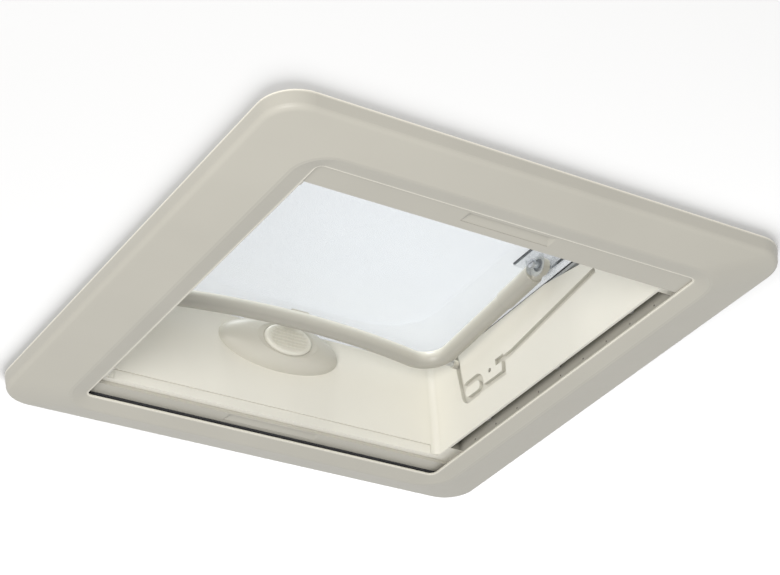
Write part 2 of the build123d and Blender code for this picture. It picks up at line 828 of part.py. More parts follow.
def pull_bar(z, front_y, back_y, upper, recess):
    """Bar from its front edge to its back edge, with the scoop for the fingers in its lower face."""
    width = abs(back_y - front_y)
    middle_y = (front_y + back_y) / 2
    toward_back = 1 if back_y > front_y else -1
    with BuildPart() as bar:
        with BuildSketch(Plane.XY.offset(z)):
            with Locations((0, middle_y)):
                Rectangle(2 * bar_half_x, width)
        extrude(amount=bar_thickness)
        back_edges = bar.edges().filter_by(Axis.Z).group_by(Axis.Y)[-1 if toward_back == 1 else 0]
        fillet(back_edges, bar_corner)
        if upper:
            for side in (-1, 1):
                with BuildSketch(Plane.XY.offset(z)):
                    with Locations((side * bar_half_x, middle_y)):
                        Rectangle(2 * shoe_width, 2 * width)
                extrude(amount=shoe_z - z, mode=Mode.SUBTRACT)
        add(recess, mode=Mode.SUBTRACT)
    return bar


rear_recess = finger_recess(
    rear_bar_z, rear_bar_back_y - rear_recess_edge, rear_recess_length, rear_recess_width
)
front_recess = finger_recess(
    front_bar_z, front_bar_front_y - front_recess_edge, front_recess_length, front_recess_width
)
rear_pull_bar = pull_bar(rear_bar_z, rear_bar_front_y, rear_bar_back_y, False, rear_recess)
write(rear_pull_bar, "rear_pull_bar")
front_pull_bar = pull_bar(front_bar_z, front_bar_front_y, front_bar_back_y, True, front_recess)
write(front_pull_bar, "front_pull_bar")

# Folded cloths behind the bars
cloth_half_x = bar_half_x - shoe_width - cloth_side_gap
for end, z, name in ((1, rear_bar_z, "blackout_cloth"), (-1, front_bar_z, "flyscreen_cloth")):
    with BuildPart() as cloth:
        start_y = rear_bar_back_y if end == 1 else -front_bar_back_y
        with BuildSketch(Plane.XY.offset(z)):
            with Locations((0, end * (start_y + cloth_gap + cloth_depth / 2))):
                Rectangle(2 * cloth_half_x, cloth_depth)
        extrude(amount=cloth_thickness)
    write(cloth, name)


# Dome panes
def bubble(z, half_x, half_y, corner, rise):
    """Domed solid that stands on height z."""
    sections = []
    for step in range(bubble_steps + 1):
        angle = radians(bubble_top_angle * step / bubble_steps)
        inset = (1 - cos(angle)) * half_x
        share = cos(angle)
        radius = min(corner + inset, corner_limit * share * min(half_x, half_y))
        sections.append(outline(z + rise * sin(angle), share * half_x, share * half_y, radius))
    return loft(sections=sections, ruled=True, mode=Mode.PRIVATE)


inner_rim_half = rim_half - inner_rim_inset
inner_rim_corner = rim_corner - inner_rim_inset
outer_pane_z = dome_z + inner_pane + pane_gap
with BuildPart() as dome_inner:
    extrude(outline(dome_z, inner_rim_half, inner_rim_half, inner_rim_corner), amount=inner_pane)
    add(bubble(dome_z + inner_pane, inner_bulge_half_x, inner_bulge_half_y, bulge_corner, inner_rise))
    hollow_x = inner_bulge_half_x - inner_pane
    hollow_y = inner_bulge_half_y - inner_pane
    add(bubble(dome_z, hollow_x, hollow_y, bulge_corner - inner_pane, inner_rise), mode=Mode.SUBTRACT)

outer_bulge_half = rim_half - rim_border
with BuildPart() as dome_outer:
    extrude(outline(outer_pane_z, rim_half, rim_half, rim_corner), amount=outer_pane)
    add(bubble(outer_pane_z + outer_pane, outer_bulge_half, outer_bulge_half, bulge_corner, outer_rise))
    hollow = outer_bulge_half - outer_pane
    add(bubble(outer_pane_z, hollow, hollow, bulge_corner - outer_pane, outer_rise), mode=Mode.SUBTRACT)

with BuildPart() as pane_spacer:
    spacer_half = rim_half - spacer_edge
    spacer_z = dome_z + inner_pane
    extrude(outline(spacer_z, spacer_half, spacer_half, rim_corner - spacer_edge), amount=pane_gap)
    spacer_inner = spacer_half - spacer_width
    spacer_corner = rim_corner - spacer_edge - spacer_width
    hole = outline(spacer_z, spacer_inner, spacer_inner, spacer_corner)
    extrude(hole, amount=pane_gap, mode=Mode.SUBTRACT)

# Hinge: base with two ears on the flange, pin, leaf with barrel under the rim
ear_radius = hinge_barrel_radius - hinge_barrel_gap
for side, word in ((-1, "left"), (1, "right")):
    with BuildPart() as base:
        with BuildSketch(Plane.XY.offset(flange_top)):
            with Locations((side * hinge_x, hinge_y)):
                Rectangle(2 * hinge_half_length, hinge_base_width)
        extrude(amount=hinge_base_thickness)
        for end in (-1, 1):
            with BuildSketch(Plane.YZ.offset(side * hinge_x + end * ear_x)):
                with Locations((hinge_y, (flange_top + hinge_z) / 2)):
                    Rectangle(2 * ear_radius, hinge_z - flange_top)
                with Locations((hinge_y, hinge_z)):
                    Circle(ear_radius)
            extrude(amount=hinge_ear_length / 2, both=True)
        with Locations(Location((side * hinge_x, hinge_y, hinge_z), (0, 90, 0))):
            Cylinder(hinge_pin_radius + hinge_pin_gap, 4 * hinge_half_length, mode=Mode.SUBTRACT)
        with Locations([(x, y, flange_top) for x, y in hinge_screw_places if side * x > 0]):
            Cylinder(small_screw_radius + hole_gap, 4 * hinge_base_thickness, mode=Mode.SUBTRACT)
    write(base, f"hinge_base_{word}")

    with BuildPart() as pin:
        pin_half = ear_x + hinge_ear_length / 2
        with Locations(Location((side * hinge_x, hinge_y, hinge_z), (0, 90, 0))):
            Cylinder(hinge_pin_radius, 2 * pin_half)
        for end in (-1, 1):
            head_x = side * hinge_x + end * (pin_half + pin_head / 2)
            with Locations(Location((head_x, hinge_y, hinge_z), (0, 90, 0))):
                Cylinder(hinge_pin_radius + pin_head_lip, pin_head)
    write(pin, f"hinge_pin_{word}")

    with BuildPart() as leaf:
        with BuildSketch(Plane.XY.offset(dome_z - hinge_leaf)):
            with Locations((side * hinge_x, hinge_y + (hinge_leaf_rear - hinge_leaf_front) / 2)):
                Rectangle(2 * hinge_half_length, hinge_leaf_front + hinge_leaf_rear)
        extrude(amount=hinge_leaf)
        with BuildSketch(Plane.YZ.offset(side * hinge_x)):
            with Locations((hinge_y, hinge_z)):
                Circle(hinge_barrel_radius)
            with Locations((hinge_y, hinge_z + hinge_barrel_radius / 2)):
                Rectangle(2 * hinge_barrel_radius, hinge_barrel_radius)
        extrude(amount=hinge_barrel_length / 2, both=True)
        with Locations(Location((side * hinge_x, hinge_y, hinge_z), (0, 90, 0))):
            Cylinder(hinge_pin_radius + hinge_pin_gap, 2 * hinge_barrel_length, mode=Mode.SUBTRACT)
        with Locations([(x, y, dome_z) for x, y in hinge_screw_places if side * x > 0]):
            Cylinder(small_screw_radius + hole_gap, 4 * hinge_leaf, mode=Mode.SUBTRACT)
    write(leaf, f"hinge_leaf_{word}")

leaf_screw_reach = hinge_leaf + inner_pane + pane_gap + outer_pane / 2
for pane in (dome_inner, dome_outer, pane_spacer):
    with pane:
        with Locations([(x, y, dome_z + leaf_screw_reach - hinge_leaf) for x, y in hinge_screw_places]):
            Cylinder(
                small_screw_radius + hole_gap,
                leaf_screw_reach,
                align=(Align.CENTER, Align.CENTER, Align.MAX),
                mode=Mode.SUBTRACT,
            )
write(dome_inner, "dome_inner")
write(dome_outer, "dome_outer")
write(pane_spacer, "pane_spacer")

with BuildPart() as hinge_leaf_screws:
    for x, y in hinge_screw_places:
        with Locations((x, y, dome_z - hinge_leaf - small_head)):
            Cylinder(
                2 * small_screw_radius,
                small_head,
                align=(Align.CENTER, Align.CENTER, Align.MIN),
            )
            Cylinder(
                small_screw_radius,
                small_head + leaf_screw_reach - screw_end_gap,
                align=(Align.CENTER, Align.CENTER, Align.MIN),
            )
write(hinge_leaf_screws, "hinge_leaf_screws")

with BuildPart() as hinge_base_screws:
    for x, y in hinge_screw_places:
        with Locations((x, y, flange_top + hinge_base_thickness + small_head)):
            Cylinder(
                2 * small_screw_radius,
                small_head,
                align=(Align.CENTER, Align.CENTER, Align.MAX),
            )
            Cylinder(
                small_screw_radius,
                small_head + hinge_base_thickness + flange_screw_grip,
                align=(Align.CENTER, Align.CENTER, Align.MAX),
            )
write(hinge_base_screws, "hinge_base_screws")

# Bow handle: swept bar, eyes on the pivots, seats of the guide pins
bow_lean = atan2(bow_pivot_z - bow_front_z, bow_pivot_y - bow_front_y)
bow_plane = Plane(
    origin=(0, bow_pivot_y, bow_pivot_z),
    x_dir=(1, 0, 0),
    z_dir=(0, -sin(bow_lean), cos(bow_lean)),
)
bow_length = (bow_pivot_y - bow_front_y) / cos(bow_lean)


def bow_point(x, y):
    """Point of the bow's plane at the row's X and Y."""
    rise = (y - bow_pivot_y) / (bow_front_y - bow_pivot_y)
    return x, y, bow_pivot_z + rise * (bow_front_z - bow_pivot_z)


with BuildPart() as bow_bar:
    with BuildLine(bow_plane) as bow_path:
        Line((bow_half_x, 0), (bow_half_x, -bow_length))
        ThreePointArc((bow_half_x, -bow_length), (0, -bow_length + bow_bulge), (-bow_half_x, -bow_length))
        Line((-bow_half_x, -bow_length), (-bow_half_x, 0))
        fillet(bow_path.vertices().sort_by(Axis.Y)[:2], bow_corner)
    with BuildSketch(Plane(origin=bow_plane.origin + (bow_half_x, 0, 0), z_dir=-bow_plane.y_dir)):
        Circle(bow_radius)
    sweep()
    swept_bar = bow_bar.part
    # Stouter ends of the arms, each with a thin tongue between the bracket's ears
    arms = []
    for side in (-1, 1):
        start = bow_plane.origin + (side * bow_half_x, 0, 0)
        arms.append(Plane(origin=start, x_dir=(1, 0, 0), z_dir=-bow_plane.y_dir))
    for arm in arms:
        with BuildSketch(arm.offset(arm_end)):
            Circle(bow_radius + arm_extra)
        extrude(amount=arm_length - arm_end)
    fillet(bow_bar.edges().filter_by(GeomType.CIRCLE).sort_by(SortBy.RADIUS)[-4:], arm_round)
    for arm in arms:
        with BuildSketch(arm):
            Rectangle(4 * bow_radius, 4 * bow_radius)
            Rectangle(bow_eye_width, 4 * bow_radius, mode=Mode.SUBTRACT)
        extrude(amount=arm_end, mode=Mode.SUBTRACT)
    for side in (-1, 1):
        with Locations(Location((side * bow_half_x, bow_pivot_y, bow_pivot_z), (0, 90, 0))):
            Cylinder(bow_radius, bow_eye_width)
    for side in (-1, 1):
        with Locations(Location((side * bow_half_x, bow_pivot_y, bow_pivot_z), (0, 90, 0))):
            Cylinder(pivot_radius + pivot_gap, 3 * bow_eye_width, mode=Mode.SUBTRACT)
        seat = bow_point(side * (bow_half_x - guide_pin_seat), guide_pin_y)
        with Locations(Location(seat, (0, 90 * side, 0))):
            Cylinder(
                guide_pin_radius + pin_seat_gap,
                4 * guide_pin_seat,
                align=(Align.CENTER, Align.CENTER, Align.MIN),
                mode=Mode.SUBTRACT,
            )
write(bow_bar, "bow_bar")

for side, word in ((-1, "left"), (1, "right")):
    start = bow_point(side * (bow_half_x - guide_pin_seat), guide_pin_y)
    tip_x = well_half(start[2])[0] - roller_wall_gap
    with BuildPart() as guide_pin:
        with Locations(Location(start, (0, 90 * side, 0))):
            Cylinder(
                guide_pin_radius,
                tip_x - abs(start[0]),
                align=(Align.CENTER, Align.CENTER, Align.MIN),
            )
    write(guide_pin, f"guide_pin_{word}")

with BuildPart() as guide_rollers:
    for side in (-1, 1):
        tip = bow_point(side * (bow_half_x - guide_pin_seat), guide_pin_y)
        tip_x = well_half(tip[2])[0] - roller_wall_gap
        with Locations(Location((side * tip_x, tip[1], tip[2]), (0, -90 * side, 0))):
            Cylinder(
                roller_radius,
                roller_length,
                align=(Align.CENTER, Align.CENTER, Align.MIN),
            )
            Cylinder(
                guide_pin_radius + pin_seat_gap,
                3 * roller_length,
                mode=Mode.SUBTRACT,
            )
write(guide_rollers, "guide_rollers")

# Clear brackets, gaskets, pivot screws and washers
ear_inner = bow_eye_width / 2 + washer_gap + washer_thickness
ear_outer = ear_inner + bracket_ear
base_top = dome_z - bracket_gasket
base_bottom = base_top - bracket_base
bracket_width = bracket_inner_reach + bracket_outer_reach
bracket_x = bow_half_x + (bracket_outer_reach - bracket_inner_reach) / 2
strip_x = (bracket_width - gasket_border) / 2
for side, word in ((-1, "left"), (1, "right")):
    with BuildPart() as bracket:
        with BuildSketch(Plane.XY.offset(base_bottom)):
            with Locations((side * bracket_x, bow_pivot_y)):
                Rectangle(bracket_width, bracket_length)
        extrude(amount=bracket_base)
        for end in (-1, 1):
            middle = side * bow_half_x + end * (ear_inner + ear_outer) / 2
            with BuildSketch(Plane.YZ.offset(middle)):
                with Locations((bow_pivot_y, bow_pivot_z)):
                    Circle(bracket_ear_radius)
                with Locations((bow_pivot_y, (bow_pivot_z + base_bottom) / 2)):
                    Rectangle(2 * bracket_ear_radius, base_bottom - bow_pivot_z)
            extrude(amount=bracket_ear / 2, both=True)
        with Locations(Location((side * bow_half_x, bow_pivot_y, bow_pivot_z), (0, 90, 0))):
            Cylinder(pivot_radius + pivot_gap, 4 * ear_outer, mode=Mode.SUBTRACT)
    write(bracket, f"bow_bracket_{word}")

    with BuildPart() as pivot:
        inner_x = side * (bow_half_x - ear_outer - pivot_head)
        with Locations(Location((inner_x, bow_pivot_y, bow_pivot_z), (0, 90 * side, 0))):
            Cylinder(
                pivot_head_radius,
                pivot_head,
                align=(Align.CENTER, Align.CENTER, Align.MIN),
            )
            Cylinder(
                pivot_radius,
                pivot_head + 2 * ear_outer,
                align=(Align.CENTER, Align.CENTER, Align.MIN),
            )
            Box(pivot_slot, 2 * pivot_head_radius, 2 * pivot_slot, mode=Mode.SUBTRACT)
    write(pivot, f"bow_pivot_{word}")

with BuildPart() as bracket_gaskets:
    for side in (-1, 1):
        with BuildSketch(Plane.XY.offset(base_top)):
            with Locations([(side * bracket_x + end * strip_x, bow_pivot_y) for end in (-1, 1)]):
                Rectangle(gasket_border, bracket_length)
        extrude(amount=bracket_gasket)
write(bracket_gaskets, "bracket_gaskets")

with BuildPart() as pivot_washers:
    for side in (-1, 1):
        for end in (-1, 1):
            middle = side * bow_half_x + end * (ear_inner - washer_thickness / 2)
            with Locations(Location((middle, bow_pivot_y, bow_pivot_z), (0, 90, 0))):
                Cylinder(washer_radius, washer_thickness)
                Cylinder(pivot_radius + pivot_gap, 2 * washer_thickness, mode=Mode.SUBTRACT)
write(pivot_washers, "pivot_washers")

# Lock on the front wall: housing, button, bolt, spring
def lock_ellipse(height, half_x, half_z):
    """Ellipse parallel to the front wall, at a height off it."""
    with BuildSketch(lock_plane.offset(height)) as section:
        Ellipse(half_x, half_z)
    return section.sketch


bolt_low = button_half_z + bolt_gap
bolt_high = bolt_low + bolt_thickness
plate_start = button_floor + button_stroke + plate_gap
button_start = plate_start + button_plate
button_end = housing_height + button_proud
striker_face_y = bow_front_y + bow_bulge - bow_radius - striker_lead
bolt_reach = (striker_face_y - bolt_tip_gap - lock_plane.origin.Y) / cos(front_lean)
bolt_tip = bolt_reach - bolt_high * tan(front_lean)

with BuildPart() as lock_housing:
    sections = []
    for share, across, tall in housing_shape:
        sections.append(lock_ellipse(share * housing_height, across * housing_half_x, tall * housing_half_z))
    loft(sections=sections)
    pocket_x = button_half_x + button_gap
    pocket_z = button_half_z + button_gap
    extrude(lock_ellipse(button_floor, pocket_x, pocket_z), amount=housing_height, mode=Mode.SUBTRACT)
    with BuildSketch(lock_plane.offset(button_floor)):
        with Locations((0, (bolt_high + bolt_slot_gap) / 2)):
            Rectangle(bolt_width + 2 * bolt_slot_gap, bolt_high + bolt_slot_gap)
    extrude(amount=2 * housing_height, mode=Mode.SUBTRACT)
    # The dome's pane passes above the housing
    with BuildSketch(Plane.XY.offset(well_top_z - housing_top_gap)):
        with Locations((0, -well_top_half)):
            Rectangle(4 * housing_half_x, 8 * housing_height)
    extrude(amount=2 * housing_half_z, mode=Mode.SUBTRACT)
    for side in (-1, 1):
        with BuildSketch(lock_plane):
            with Locations((side * lock_screw_x, 0)):
                Circle(small_screw_radius + thread_gap)
        extrude(amount=lock_screw_reach, mode=Mode.SUBTRACT)
write(lock_housing, "lock_housing")

with BuildPart() as lock_screws:
    for side in (-1, 1):
        with BuildSketch(lock_plane.offset(-liner_wall)):
            with Locations((side * lock_screw_x, 0)):
                Circle(2 * small_screw_radius)
        extrude(amount=-small_head)
        with BuildSketch(lock_plane.offset(-liner_wall)):
            with Locations((side * lock_screw_x, 0)):
                Circle(small_screw_radius)
        extrude(amount=liner_wall + lock_screw_reach - screw_end_gap)
write(lock_screws, "lock_screws")

with BuildPart() as lock_button:
    extrude(lock_ellipse(button_start, button_half_x, button_half_z), amount=button_end - button_start)
    fillet(lock_button.edges().sort_by(Axis.Y)[-1], button_round)
    with BuildSketch(lock_plane.offset(button_end)):
        rows = [(0, button_rib_pitch * (n - (button_rib_count - 1) / 2)) for n in range(button_rib_count)]
        with Locations(rows):
            Rectangle(2 * button_half_x, button_rib_width)
        Ellipse(button_rib_reach * button_half_x, button_rib_reach * button_half_z, mode=Mode.INTERSECT)
    extrude(amount=button_rib_height)
    with BuildSketch(lock_plane.offset(button_start)):
        Circle(button_bore)
    extrude(amount=button_end - button_start - button_head, mode=Mode.SUBTRACT)
write(lock_button, "lock_button")

with BuildPart() as latch_bolt:
    with BuildSketch(lock_plane.offset(plate_start)):
        with Locations((0, (bolt_high - plate_drop) / 2)):
            Rectangle(bolt_width, bolt_high + plate_drop)
        Circle(button_bore, mode=Mode.SUBTRACT)
    extrude(amount=button_plate)
    with BuildSketch(lock_plane.offset(plate_start)):
        with Locations((0, (bolt_low + bolt_high) / 2)):
            Rectangle(bolt_width, bolt_thickness)
    extrude(amount=bolt_tip - plate_start)
write(latch_bolt, "latch_bolt")

spring_length = button_end - button_head - button_floor
with BuildPart() as button_spring:
    with BuildLine():
        Helix(
            pitch=(spring_length - 2 * spring_wire) / spring_turns,
            height=spring_length - 2 * spring_wire,
            radius=spring_radius,
            center=lock_plane.offset(button_floor + spring_wire).origin,
            direction=lock_plane.z_dir,
        )
    coil = button_spring.pending_edges[0]
    with BuildSketch(Plane(origin=coil @ 0, z_dir=coil % 0)):
        Circle(spring_wire)
    sweep()
write(button_spring, "button_spring")

# Striker on the bow, around the bolt's tip
with BuildPart() as bow_striker:
    centre = bow_point(0, bow_front_y + bow_bulge)
    bolt_point = lock_plane.from_local_coords(Vector(0, (bolt_low + bolt_high) / 2, bolt_tip))
    striker_top = bolt_point.Z + bolt_thickness / 2 + notch_height_gap + striker_wall
    with Locations((0, striker_face_y, centre[2])):
        Box(
            striker_width,
            striker_depth,
            striker_top - centre[2],
            align=(Align.CENTER, Align.MIN, Align.MIN),
        )
    with Locations((0, striker_face_y, bolt_point.Z)):
        Box(
            bolt_width + 2 * notch_side_gap,
            2 * striker_notch,
            bolt_thickness + 2 * notch_height_gap,
            mode=Mode.SUBTRACT,
        )
    add(swept_bar, mode=Mode.SUBTRACT)
write(bow_striker, "bow_striker")
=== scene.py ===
import json
from math import asin, cos, radians, sin

import bmesh
import bpy
from mathutils import Matrix, Vector


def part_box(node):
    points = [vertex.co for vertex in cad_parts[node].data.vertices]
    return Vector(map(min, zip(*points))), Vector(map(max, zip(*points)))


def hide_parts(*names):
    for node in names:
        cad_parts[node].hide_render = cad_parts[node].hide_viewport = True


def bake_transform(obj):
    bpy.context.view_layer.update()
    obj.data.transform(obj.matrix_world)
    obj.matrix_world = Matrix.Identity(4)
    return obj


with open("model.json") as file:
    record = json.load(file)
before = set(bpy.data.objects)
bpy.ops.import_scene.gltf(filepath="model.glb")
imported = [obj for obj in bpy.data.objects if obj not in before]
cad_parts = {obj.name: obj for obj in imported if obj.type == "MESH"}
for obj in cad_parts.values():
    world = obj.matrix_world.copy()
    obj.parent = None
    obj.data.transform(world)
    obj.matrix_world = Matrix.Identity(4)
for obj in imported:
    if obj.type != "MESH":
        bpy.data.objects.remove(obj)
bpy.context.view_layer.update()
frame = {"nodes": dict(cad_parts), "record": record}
nodes = frame["nodes"]
frame_slots = {subpart["node"]: subpart["material_slot"] for subpart in frame["record"]["subparts"]}

# All sizes are metres, in the frame of the CAD model: room below, sky above, hinge at the rear.

# Camera: the photograph looks up from the hinge side's right corner
VIEW_AZIMUTH = radians(235.35)
VIEW_ELEVATION = radians(31.31)
VIEW_ROLL = radians(4.2)
CAMERA_PLACE = Vector((0.9392, 1.3757, -0.9587))
LENS_MM = 102.9
SENSOR_MM = 36.0
CLIP_START = 0.05
CLIP_END = 50.0

# Heights of the ceiling and of the floor that the trim stands on
CEILING_Z = 0.0252
FLOOR_DROP = 0.0004
STAGE_HALF = 6.0
CUTOUT_HALF = 0.2

# Lamps
KEY_PLACE = Vector((1.735, 1.458, -1.0))
KEY_SIZE = 1.3
KEY_POWER = 38.0
KEY_COLOR = (1.0, 0.985, 0.96)
SKY_PLACE = Vector((0.15, 0.1, 2.0))
SKY_SIZE = 0.7
SKY_POWER = 42.0
SKY_COLOR = (0.96, 0.98, 1.0)
CEILING_LAMP_PLACE = Vector((-0.95, -1.2, -1.3))
CEILING_LAMP_SIZE = 1.6
CEILING_LAMP_POWER = 68.0
LAMP_AIM = Vector((0, 0, 0.06))
ROOM_LIGHT = 0.72
SKY_LIGHT = 0.42
HORIZON_BAND = 0.5

# Pleated cloths of the blinds
PLEATS = 68
CLOTH_THICKNESS = 0.00008
WEAVE_SCALE = 300.0

# Distance within which the spring's doubled points are merged
MERGE_DISTANCE = 0.000001

# Moulded plastic's surface: noise scales per metre, and the height of its broad waves
FLOW_SCALE = 9.0
GLOSS_SCALE = 140.0
GRAIN_SCALE = 1500.0
WAVE_SCALE = 22.0
WAVE_HEIGHT = 0.0004

# Painted shade: darker tone in grooves, recesses and joints, where shade falls
CREASE_SHADE_REACH = 0.009
CREASE_SHADE_TONE = 0.42
LINER_CREASE_SHADE = 0.6
BUTTON_CREASE_SHADE = 0.75
CREASE_SHADE_FULL = 0.25
CREASE_SHADE_NONE = 0.95

# Painted highlight along the sharp edges of the trim's lip
EDGE_RADIUS = 0.0042
EDGE_GAIN = 1.75
EDGE_START = 0.985
EDGE_FULL = 0.84

# Handle: painted light on its upper side and painted shade on its underside
TOP_LIGHT_START = -0.75
TOP_LIGHT_FULL = 0.75
SHADED_SIDE = 0.66
SUNNY_SIDE = 1.45

# Stage: grey and own glow of the ceiling and the floor
CEILING_GREY = (0.55, 0.55, 0.55, 1)
CEILING_GLOW = 0.03
FLOOR_GREY = (0.9, 0.9, 0.9, 1)
FLOOR_GLOW = 0.1

# Colours, linear
CREAM = (0.500, 0.482, 0.423, 1)
LINER_CREAM = (0.800, 0.778, 0.700, 1)
HANDLE_CREAM = (0.620, 0.598, 0.524, 1)
# Rails: cream made darker, painted shade of the channel they sit in
RAIL_SHADED_CREAM = (0.480, 0.463, 0.407, 1)
HOUSING_CREAM = (0.590, 0.570, 0.500, 1)
BUTTON_CREAM = (0.740, 0.720, 0.640, 1)
FRAME_WHITE = (0.50, 0.51, 0.50, 1)
PANE_TINT = (0.80, 0.87, 0.93, 1)
PANE_ALPHA = 0.16
BRACKET_ALPHA = 0.2
RUBBER_BLACK = (0.012, 0.012, 0.013, 1)
ZINC = (0.60, 0.61, 0.63, 1)
GALVANISED = (0.46, 0.48, 0.50, 1)
CLOTH_CREAM = (0.55, 0.54, 0.50, 1)
MESH_GREY = (0.10, 0.10, 0.11, 1)


def view_camera():
    """Camera at the photograph's place and angle."""
    look = Vector(
        (
            cos(VIEW_ELEVATION) * cos(VIEW_AZIMUTH),
            cos(VIEW_ELEVATION) * sin(VIEW_AZIMUTH),
            sin(VIEW_ELEVATION),
        )
    )
    level_right = look.cross(Vector((0, 0, 1))).normalized()
    level_down = look.cross(level_right)
    right = cos(VIEW_ROLL) * level_right + sin(VIEW_ROLL) * level_down
    down = cos(VIEW_ROLL) * level_down - sin(VIEW_ROLL) * level_right
    data = bpy.data.cameras.new("camera")
    data.lens = LENS_MM
    data.sensor_width = SENSOR_MM
    data.clip_start = CLIP_START
    data.clip_end = CLIP_END
    camera = bpy.data.objects.new("camera", data)
    axes = Matrix((right, -down, -look)).transposed()
    camera.matrix_world = Matrix.Translation(CAMERA_PLACE) @ axes.to_4x4()
    bpy.context.scene.collection.objects.link(camera)
    bpy.context.scene.camera = camera


class Nodes:
    """Shader nodes of one material, made and joined by name."""

    def __init__(self, name):
        self.material = bpy.data.materials.new(name)
        self.material.use_nodes = True
        self.tree = self.material.node_tree
        self.tree.nodes.clear()
        self.output = self.tree.nodes.new("ShaderNodeOutputMaterial")
        self.shader = self.tree.nodes.new("ShaderNodeBsdfPrincipled")
        self.tree.links.new(self.shader.outputs[0], self.output.inputs["Surface"])
        self.coordinates = self.tree.nodes.new("ShaderNodeTexCoord")

    def add(self, kind, **values):
        node = self.tree.nodes.new(kind)
        for key, value in values.items():
            if hasattr(node, key):
                setattr(node, key, value)
            else:
                node.inputs[key.replace("_", " ")].default_value = value
        return node

    def join(self, source, target):
        self.tree.links.new(source, target)

    def set(self, **values):
        for key, value in values.items():
            self.shader.inputs[key.replace("_", " ")].default_value = value

    def noise(self, scale, detail=3.0, roughness=0.55):
        texture = self.add("ShaderNodeTexNoise", Scale=scale, Detail=detail, Roughness=roughness)
        self.join(self.coordinates.outputs["Object"], texture.inputs["Vector"])
        return texture

    def ramp(self, source, low, high, start=0.3, end=0.7):
        ramp = self.add("ShaderNodeValToRGB")
        ramp.color_ramp.elements[0].position = start
        ramp.color_ramp.elements[0].color = low
        ramp.color_ramp.elements[1].position = end
        ramp.color_ramp.elements[1].color = high
        self.join(source, ramp.inputs["Fac"])
        return ramp

    def remap(self, source, low, high, start=0.0, end=1.0):
        """The value spread from start and end to low and high."""
        remap = self.add("ShaderNodeMapRange")
        remap.inputs["From Min"].default_value = start
        remap.inputs["From Max"].default_value = end
        remap.inputs["To Min"].default_value = low
        remap.inputs["To Max"].default_value = high
        self.join(source, remap.inputs["Value"])
        return remap.outputs["Result"]

    def mixed(self, first, second, factor, blend_type="MIX"):
        """Two colours mixed, where each input is a socket or a value."""
        mix = self.add("ShaderNodeMix", data_type="RGBA", blend_type=blend_type)
        for socket, value in (("A", first), ("B", second), ("Factor", factor)):
            if isinstance(value, bpy.types.NodeSocket):
                self.join(value, mix.inputs[socket])
            else:
                mix.inputs[socket].default_value = value
        return mix.outputs["Result"]

    def bump(self, height, distance, strength=1.0, after=None):
        bump = self.add("ShaderNodeBump", Distance=distance, Strength=strength)
        self.join(height, bump.inputs["Height"])
        if after is not None:
            self.join(after.outputs["Normal"], bump.inputs["Normal"])
        return bump


def shade(color, factor):
    """The colour made lighter or darker."""
    return (color[0] * factor, color[1] * factor, color[2] * factor, 1)


def painted_edge_highlight(m, tone, color, radius):
    """Painted highlight: lighter tone where the surface turns a sharp corner."""
    turned = m.add("ShaderNodeBevel", samples=8, Radius=radius)
    flat = m.add("ShaderNodeNewGeometry")
    agree = m.add("ShaderNodeVectorMath", operation="DOT_PRODUCT")
    m.join(turned.outputs["Normal"], agree.inputs[0])
    m.join(flat.outputs["Normal"], agree.inputs[1])
    corner = m.remap(agree.outputs["Value"], 0.0, 1.0, EDGE_START, EDGE_FULL)
    return m.mixed(tone, shade(color, EDGE_GAIN), corner)


def painted_top_light(m, color):
    """Painted light and shade: tone that grows lighter from the downward side to the side that faces
    the sky.
    """
    side = m.add("ShaderNodeNewGeometry")
    split = m.add("ShaderNodeSeparateXYZ")
    m.join(side.outputs["Normal"], split.inputs[0])
    upward = m.remap(split.outputs["Z"], 0.0, 1.0, TOP_LIGHT_START, TOP_LIGHT_FULL)
    tone = m.ramp(upward, shade(color, SHADED_SIDE), shade(color, SUNNY_SIDE), 0.0, 1.0)
    return tone.outputs["Color"]


def flow_marked(m, color):
    """Faint broad marks of the plastic's flow."""
    flow = m.noise(FLOW_SCALE, detail=2.0)
    tone = m.ramp(flow.outputs["Fac"], shade(color, 0.975), shade(color, 1.02))
    return tone.outputs["Color"]


def painted_crease_shade(m, tone, crease_shade_tone):
    """The tone with painted shade in its grooves, recesses and joints, drawn from ambient occlusion.
    """
    hollow = m.add("ShaderNodeAmbientOcclusion", samples=8, only_local=True, Distance=CREASE_SHADE_REACH)
    grey = (crease_shade_tone, crease_shade_tone, crease_shade_tone * 0.97, 1)
    dust_and_crease_shade = m.ramp(hollow.outputs["AO"], grey, (1, 1, 1, 1), CREASE_SHADE_FULL, CREASE_SHADE_NONE)
    return m.mixed(tone, dust_and_crease_shade.outputs["Color"], 1.0, "MULTIPLY")


def moulded_plastic(
    name, color, roughness=0.42, grain=0.00004, crease_shade_tone=CREASE_SHADE_TONE, edge=0.0, top_lit=False
):
    """Injection-moulded plastic: flow marks, painted shade in grooves and joints, spark-eroded grain
    and uneven gloss; optionally a painted highlight on sharp edges, or painted light on the upper
    side in place of the flow marks.
    """
    m = Nodes(name)
    tone = painted_top_light(m, color) if top_lit else flow_marked(m, color)
    if edge:
        tone = painted_edge_highlight(m, tone, color, edge)
    m.join(painted_crease_shade(m, tone, crease_shade_tone), m.shader.inputs["Base Color"])
    gloss = m.noise(GLOSS_SCALE, detail=4.0)
    rough = m.remap(gloss.outputs["Fac"], roughness - 0.05, roughness + 0.07)
    m.join(rough, m.shader.inputs["Roughness"])
    texture = m.noise(GRAIN_SCALE, detail=2.0)
    wave = m.noise(WAVE_SCALE, detail=1.0)
    fine = m.bump(texture.outputs["Fac"], grain)
    broad = m.bump(wave.outputs["Fac"], WAVE_HEIGHT, after=fine)
    m.join(broad.outputs["Normal"], m.shader.inputs["Normal"])
    m.set(Specular_IOR_Level=0.42)
    return m.material


